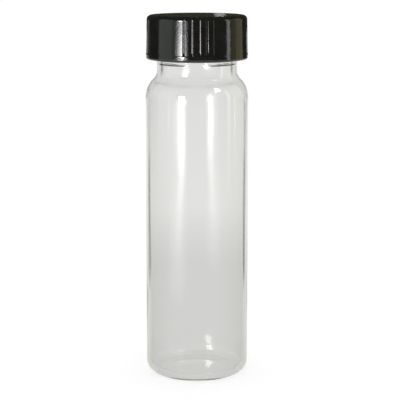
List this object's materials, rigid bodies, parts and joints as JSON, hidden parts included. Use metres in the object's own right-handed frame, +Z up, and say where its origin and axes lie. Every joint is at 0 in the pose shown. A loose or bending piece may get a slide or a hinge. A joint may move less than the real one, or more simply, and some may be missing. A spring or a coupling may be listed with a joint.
{
  "type": "glass sample vial",
  "caption": "Clear glass sample vial with a rounded shoulder, a threaded neck and a black ribbed screw cap over a sealing liner.",
  "frame": {"origin": "centre of the standing ring under the base, on the vial's axis", "axes": "+Z up along the vial's axis, from the base to the cap; one group of grip grooves faces -Y, turned 2.7 degrees towards +X"},
  "size_m": [0.0278, 0.0278, 0.098],
  "materials": {
    "glass": "clear and smooth",
    "cap_black": "glossy moulded phenolic",
    "liner": "smooth foam disc"
  },
  "bodies": {
    "vial": {"glass_vial": "glass"},
    "liner": {"cap_liner": "liner"},
    "cap": {"screw_cap": "cap_black"}
  },
  "joints": [
    {"name": "cap_lift", "type": "slide", "parent": "vial", "child": "liner", "axis": [0, 0, 1], "range_m": [0, 0.0127]},
    {"name": "cap_turn", "type": "hinge", "parent": "liner", "child": "cap", "pos_m": [0, 0, 0.09], "axis": [0, 0, 1], "range_deg": [0, 1440]}
  ],
  "couplings": [
    {"joint": "cap_lift", "follows": "cap_turn", "m_per_rad": 0.00050532}
  ]
}
